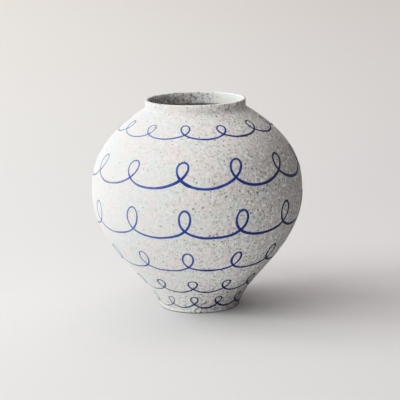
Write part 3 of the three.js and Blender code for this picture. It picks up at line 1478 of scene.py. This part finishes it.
@dataclass(frozen=True)
class ClayFinish(Finish):
    """Dry off-white stoneware with iron specks, with painted shade on its right. Colours are linear, and
    mist, blush, frost and straw are tints of what lies under them.

    A least and a gain give a strength that grows with a mask. Dark grains show by dark_speckle times
    speckle_and_shade, dark_speckle_squared times its square and dark_in_shade times the painted shade on the
    foot's and collar's right, and light grains by light_share, with light_in_shade times that shade added.
    """

    # The left's cool tone is painted darker against the window light, and the right's tone is painted shade,
    # with paler grains of its own
    cool: Colour = (0.725, 0.731, 0.731)
    base: Colour = (0.8, 0.795, 0.776)
    right_shade: Colour = (0.365, 0.353, 0.346)
    right_shade_pale: Colour = (0.72, 0.702, 0.69)
    # Painted shade on the mouth's left
    mouth_left_shade: Colour = (0.48, 0.47, 0.46)
    # Painted light on the mouth's right
    mouth_right_light_tone: Colour = (0.95, 0.95, 0.94)
    # Painted contact shade along the foot's edge on the table
    foot_contact_shade: Colour = (0.22, 0.18, 0.155)
    shade: Colour = (0.24, 0.23, 0.215)
    mist: Colour = (0.975, 1.0, 1.0)
    blush: Colour = (1.025, 0.978, 0.975)
    frost: Colour = (1.0, 0.997, 1.02)
    straw: Colour = (0.993, 1.003, 0.955)
    pale: Colour = (0.95, 0.95, 0.94)
    iron: Colour = (0.02, 0.018, 0.018)
    iron_light: Colour = (0.12, 0.105, 0.095)
    grain: float = 0.0034
    cloud: float = 0.022
    pits: float = 0.5
    pit_paleness: float = 0.9
    # Painted shade on the right is darker higher up
    darker_height: Ramp = (0.13, 0.19)
    darker_share: float = 0.6
    # Where the painted contact shade at the foot's edge lies
    contact_shade_height: Ramp = (0.0016, 0.0007)
    patch_waves: float = 38.0
    patch_edge: Ramp = (0.33, 0.67)
    patch_least: float = 0.4
    patch_gain: float = 0.95
    speck_least: float = 0.15
    speck_gain: float = 0.85
    iron_least: float = 0.2
    iron_gain: float = 0.78
    # How dark the painted shade on the foot's and collar's right is
    foot_collar_shade_share: float = 0.35
    # Dark grains grow with the speck mask, which is partly painted shade
    dark_speckle_squared: float = 0.5
    dark_speckle: float = 0.12
    dark_in_shade: float = 0.3
    light_share: float = 0.95
    light_in_shade: float = -0.5
    roughness: float = 0.86
    diffuse_roughness: float = 0.5
    relief: float = 0.0005
    relief_strength: float = 0.7
    specks: tuple[Specks, ...] = (
        Specks(0.0052, 0.00112, 0.8),
        Specks(0.0034, 0.00085, 0.95),
        Specks(0.0024, 0.00056, 0.5),
    )

    def colour(self, surface: FiredSurface) -> Value:
        """The mottled clay with its pits and specks."""
        pitted = surface.grit["Pit"] * surface.speckle_and_shade.math("MINIMUM", 1.0) * self.pit_paleness
        return self.specked(surface, surface.graph.blend(pitted, self.mottled(surface), self.pale))

    def outside_tone(self, surface: FiredSurface, right_shade_mask: Value) -> Value:
        """The clay from its cool left, painted darker there against the window light, to painted shade on
        its right, which is darker higher up.

        Args:
            surface: The material's surface.
            right_shade_mask: Where the painted shade on the right lies.

        Returns:
            The colour.
        """
        graph = surface.graph
        colour = graph.blend(surface.facing.fade(-1.0, 0.0), self.cool, self.base)
        higher = surface.height.fade(*self.darker_height) * self.darker_share
        return graph.blend(right_shade_mask, colour, graph.blend(higher, self.right_shade, self.shade))

    def mouth_tone(self, surface: FiredSurface, colour: Value) -> Value:
        """A colour with painted shade and light in the mouth, painted shade on the foot's and collar's
        right, and a painted highlight at the lip's front.

        Args:
            surface: The material's surface.
            colour: The plain clay.

        Returns:
            The colour.
        """
        graph = surface.graph
        colour = graph.blend(surface.mouth_left_shade(), colour, self.mouth_left_shade)
        colour = graph.blend(surface.deep(), colour, self.shade)
        colour = graph.blend(surface.mouth_right_light(), colour, self.mouth_right_light_tone)
        colour = graph.blend(surface.foot_collar_shade * self.foot_collar_shade_share, colour, self.shade)
        return graph.blend(surface.lip_highlight(), colour, self.pale)

    def mottled(self, surface: FiredSurface) -> Value:
        """The colour of the clay with its clouds, stains and grains, and painted contact shade along the
        foot's edge.

        Args:
            surface: The material's surface.

        Returns:
            The colour.
        """
        graph, speckle_and_shade, foot_collar_shade = surface.graph, surface.speckle_and_shade, surface.foot_collar_shade
        # Painted shade on the right
        right_shade_mask = surface.right_shade()
        colour = self.mouth_tone(surface, self.outside_tone(surface, right_shade_mask))
        grains = self.grains(surface)
        clouded = graph.blend(grains["Clouds"], self.mist, self.blush)
        stained = graph.blend(grains["Stains"], self.frost, self.straw)
        colour = graph.vectors("MULTIPLY", graph.vectors("MULTIPLY", colour, clouded), stained)
        darkness = speckle_and_shade * speckle_and_shade * self.dark_speckle_squared + speckle_and_shade * self.dark_speckle
        dark = grains["Dark"] * (darkness + foot_collar_shade * self.dark_in_shade)
        colour = graph.blend(dark, colour, self.shade)
        lightness = foot_collar_shade * self.light_in_shade + self.light_share
        light = grains["Light"] * speckle_and_shade.math("MINIMUM", 1.0) * lightness
        colour = graph.blend(light, colour, graph.blend(right_shade_mask, self.pale, self.right_shade_pale))
        return graph.blend(surface.height.fade(*self.contact_shade_height), colour, self.foot_contact_shade)

    def specked(self, surface: FiredSurface, colour: Value) -> Value:
        """A colour with the iron specks on it, in patches, more and darker as painted shade on the shaded
        right, foot and mouth.

        Args:
            surface: The material's surface.
            colour: What lies under the specks.

        Returns:
            The colour.
        """
        graph, place, speckle_and_shade = surface.graph, surface.place, surface.speckle_and_shade
        patches = graph.noise(place, self.patch_waves, 1.0).fade(*self.patch_edge)
        patches = patches * self.patch_gain + self.patch_least
        for specks in self.specks:
            shares = (speckle_and_shade * self.speck_gain + self.speck_least) * patches * specks.share
            sizes = {"Spacing": specks.spacing, "Size": specks.size, "Share": shares}
            scattered = graph.place(surface.groups.specks, Vector=place, **sizes)
            iron = graph.blend(scattered["Tone"], self.iron, self.iron_light)
            strength = speckle_and_shade * self.iron_gain + self.iron_least
            colour = graph.blend(scattered["Mask"] * strength, colour, iron)
        return colour


@dataclass(frozen=True)
class CobaltFinish(Finish):
    """Cobalt slip: a pale wash where it ran thin and, as painted light, on the left, near black where it
    pooled and, as painted shade, on the right, and dull near the foot, with the clay's specks showing
    through. Colours are linear.
    """

    clay: ClayFinish = field(kw_only=True)
    # Pale on the left as painted light and near black on the right as painted shade, as well as by the
    # slip's load
    wash: Colour = (0.24, 0.28, 0.4)
    thin: Colour = (0.07, 0.125, 0.42)
    deep: Colour = (0.008, 0.036, 0.27)
    ink: Colour = (0.009, 0.012, 0.055)
    ash: Colour = (0.26, 0.25, 0.255)
    thin_edge: Ramp = (-0.1, 0.5)
    deep_edge: Ramp = (0.4, 1.02)
    line_shade_side: Ramp = (0.2, 0.8)
    dull_edge: Ramp = (0.0, 0.7)
    dull_height: Ramp = (0.075, 0.03)
    dull_share: float = 0.72
    grain: float = 0.0016
    cloud: float = 0.02
    grain_share: float = 0.12
    border: Ramp = (0.5, 1.0)
    border_share: float = 0.12
    pits: float = 0.3
    roughness: float = 0.7
    relief: float = 0.0002
    relief_strength: float = 0.5

    def colour(self, surface: FiredSurface) -> Value:
        """The slip with the clay's specks showing through."""
        return self.clay.specked(surface, self.painted(surface))

    def painted(self, surface: FiredSurface) -> Value:
        """The slip's own colour, from the numbers that the drawing kept along the stroke.

        Args:
            surface: The material's surface.

        Returns:
            The colour.
        """
        graph = surface.graph
        stroke = graph.add("ShaderNodeAttribute", attribute_name=STROKE)[1]
        across, load, facing = graph.parts(stroke)
        grains = self.grains(surface)
        border = across.math("ABSOLUTE").fade(*self.border) * self.border_share
        uneven = load * 0.5 + (grains["Dark"] - grains["Light"]) * self.grain_share - border
        # Depth is the slip's load together with painted light on the left and painted shade on the right
        depth = facing.fade(*SLIP_FLOW_AND_SHADE) + uneven
        colour = graph.blend(depth.fade(*self.thin_edge), self.wash, self.thin)
        colour = graph.blend(depth.fade(*self.deep_edge), colour, self.deep)
        # Painted shade on the lines' right
        line_right_shade = (facing + uneven * 0.5).fade(*self.line_shade_side)
        colour = graph.blend(line_right_shade, colour, self.ink)
        dull = graph.blend(depth.fade(*self.dull_edge), self.ash, self.ink)
        low = surface.height.fade(*self.dull_height) * self.dull_share
        return graph.blend(low, colour, dull)


@dataclass(frozen=True)
class PictureCamera:
    """The photograph's camera, worked out from the jar's outline in its 400 pixel frame."""

    distance: float = 1.8
    height: float = 0.5036
    pitch: float = math.radians(11.81)
    roll: float = math.radians(1.2)
    focal_pixels: float = 1536.0
    frame_pixels: float = 400.0
    axis_left_of_centre: float = 2.7
    sensor: float = 36.0

    def build(self) -> None:
        """Creates the camera and makes it the scene's."""
        data = bpy.data.cameras.new("picture_camera")
        data.sensor_width = self.sensor
        data.lens = self.sensor * self.focal_pixels / self.frame_pixels
        camera = bpy.data.objects.new("picture_camera", data)
        aside = self.axis_left_of_centre * self.distance / self.focal_pixels
        camera.location = (aside, -self.distance, self.height)
        turned = Euler((math.pi / 2 - self.pitch, 0, 0)).to_matrix()
        rolled = Euler((0, 0, -self.roll)).to_matrix()
        camera.rotation_euler = (turned @ rolled).to_euler()
        bpy.context.collection.objects.link(camera)
        bpy.context.scene.camera = camera


@dataclass(frozen=True)
class Lamp:
    """A distant soft lamp. Its azimuth is how far to the left of the front it stands, in degrees."""

    name: str
    azimuth: float
    elevation: float
    size: float
    strength: float
    colour: Colour = (0.985, 1.0, 0.99)

    def build(self) -> None:
        """Creates the lamp."""
        data = bpy.data.lights.new(self.name, "SUN")
        data.energy = self.strength
        data.angle = math.radians(self.size)
        data.color = self.colour
        lamp = bpy.data.objects.new(self.name, data)
        azimuth, elevation = math.radians(self.azimuth), math.radians(self.elevation)
        flat = math.cos(elevation)
        towards = Vector((-math.sin(azimuth) * flat, -math.cos(azimuth) * flat, math.sin(elevation)))
        lamp.rotation_euler = towards.to_track_quat("Z", "Y").to_euler()
        bpy.context.collection.objects.link(lamp)


@dataclass(frozen=True)
class Studio:
    """A plain pale floor, windows on the left, a low light from the front, and the light of a back wall
    and a pale ceiling. The floor's colour is graded from left to right in a fan that opens behind the
    camera, and with distance, as painted light and shade. Colours are linear.
    """

    floor_reach: float = 14.0
    floor_roughness: float = 0.9
    floor_specular: float = 0.2
    fan_before_jar: float = 4.1
    fan_held_before: float = -0.6
    fan_edge: Ramp = (-0.25, 0.25)
    far_edge: Ramp = (-1.5, 6.0)
    floor_near: Colour = (1.0, 1.0, 1.0)
    floor_left: Colour = (0.897, 0.924, 0.915)
    floor_right: Colour = (0.56, 0.553, 0.565)
    floor_far: Colour = (0.91, 0.873, 0.832)
    lamps: tuple[Lamp, ...] = (
        Lamp("window_near", 63, 32, 23, 0.5),
        Lamp("window_far", 108, 37, 27, 0.81),
        Lamp("window_low", 85, 26, 16, 0.85),
        Lamp("window_high", 53, 46, 49, 0.52),
        Lamp("corner", 23, 5, 14, 0.73),
        Lamp("front", 0, 6, 40, 0.1),
        Lamp("back_wall", 180, 45, 90, 0.97, (1.0, 0.91, 0.9)),
        Lamp("ceiling", 0, 85, 90, 1.0, (1.0, 0.935, 0.925)),
    )
    background: Colour = (0.7, 0.685, 0.67)

    def build(self) -> None:
        """Creates floor, lamps and backdrop."""
        self.floor()
        for lamp in self.lamps:
            lamp.build()
        self.backdrop()

    def floor(self) -> None:
        """The floor, paler on the windows' side and darker to the right and far off, as painted light and
        shade.
        """
        mesh = bpy.data.meshes.new("floor")
        reach = self.floor_reach
        corners = [(-reach, -reach, 0), (reach, -reach, 0), (reach, reach, 0), (-reach, reach, 0)]
        mesh.from_pydata(corners, [], [(0, 1, 2, 3)])
        floor = bpy.data.objects.new("floor", mesh)
        bpy.context.collection.objects.link(floor)
        material, graph, shader = new_material("floor_paper", self.floor_roughness)
        across, back, _ = graph.parts(graph.add("ShaderNodeTexCoord")[3])
        # Painted light and shade: paler on the windows' side, darker to the right and far off
        opened = back.math("MAXIMUM", self.fan_held_before) + self.fan_before_jar
        side = (across / opened).fade(*self.fan_edge)
        tone = graph.blend(side, self.floor_left, self.floor_right)
        tint = graph.blend(back.fade(*self.far_edge), self.floor_near, self.floor_far)
        graph.feed(graph.vectors("MULTIPLY", tone, tint), shader.inputs["Base Color"])
        shader.inputs["Specular IOR Level"].default_value = self.floor_specular
        mesh.materials.append(material)

    def backdrop(self) -> None:
        """The world: no light of its own, and a pale backdrop behind what is seen above the floor."""
        world = bpy.data.worlds.new("studio")
        bpy.context.scene.world = world
        world.use_nodes = True
        graph = Graph(world.node_tree)
        rays = graph.add("ShaderNodeLightPath")
        camera_ray, glossy_ray, transmitted_ray = rays[0], rays[3], rays[6]
        seen = camera_ray.math("MAXIMUM", glossy_ray).math("MAXIMUM", transmitted_ray)
        wall = graph.tree.nodes.new("ShaderNodeBackground")
        wall.inputs["Color"].default_value = (*self.background, 1)
        output = graph.tree.nodes.new("ShaderNodeOutputWorld")
        graph.feed(seen, wall.inputs["Strength"])
        graph.tree.links.new(wall.outputs[0], output.inputs[0])


def main() -> None:
    """Builds the jar, dresses it, and sets up the studio."""
    logging.basicConfig(level=logging.INFO, format="%(name)s: %(message)s")
    form = JarForm()
    wheel = Wheel()
    groups = SurfaceGroups()
    clay_finish = ClayFinish("speckled_stoneware")
    clay = clay_finish.material(groups)
    slip = ClayFinish("joint_slip", base=JOINT_BASE).material(groups)
    cobalt = CobaltFinish("cobalt_slip", clay=clay_finish).material(groups)
    Foot(form, wheel).build(clay, slip)
    Bowls(form, wheel).build(clay, slip)
    Neck(form, wheel).build(clay, slip)
    DrawnLines(form).build(cobalt)
    Studio().build()
    PictureCamera().build()
    bpy.context.scene.view_settings.view_transform = "Standard"


if __name__ == "__main__":
    main()
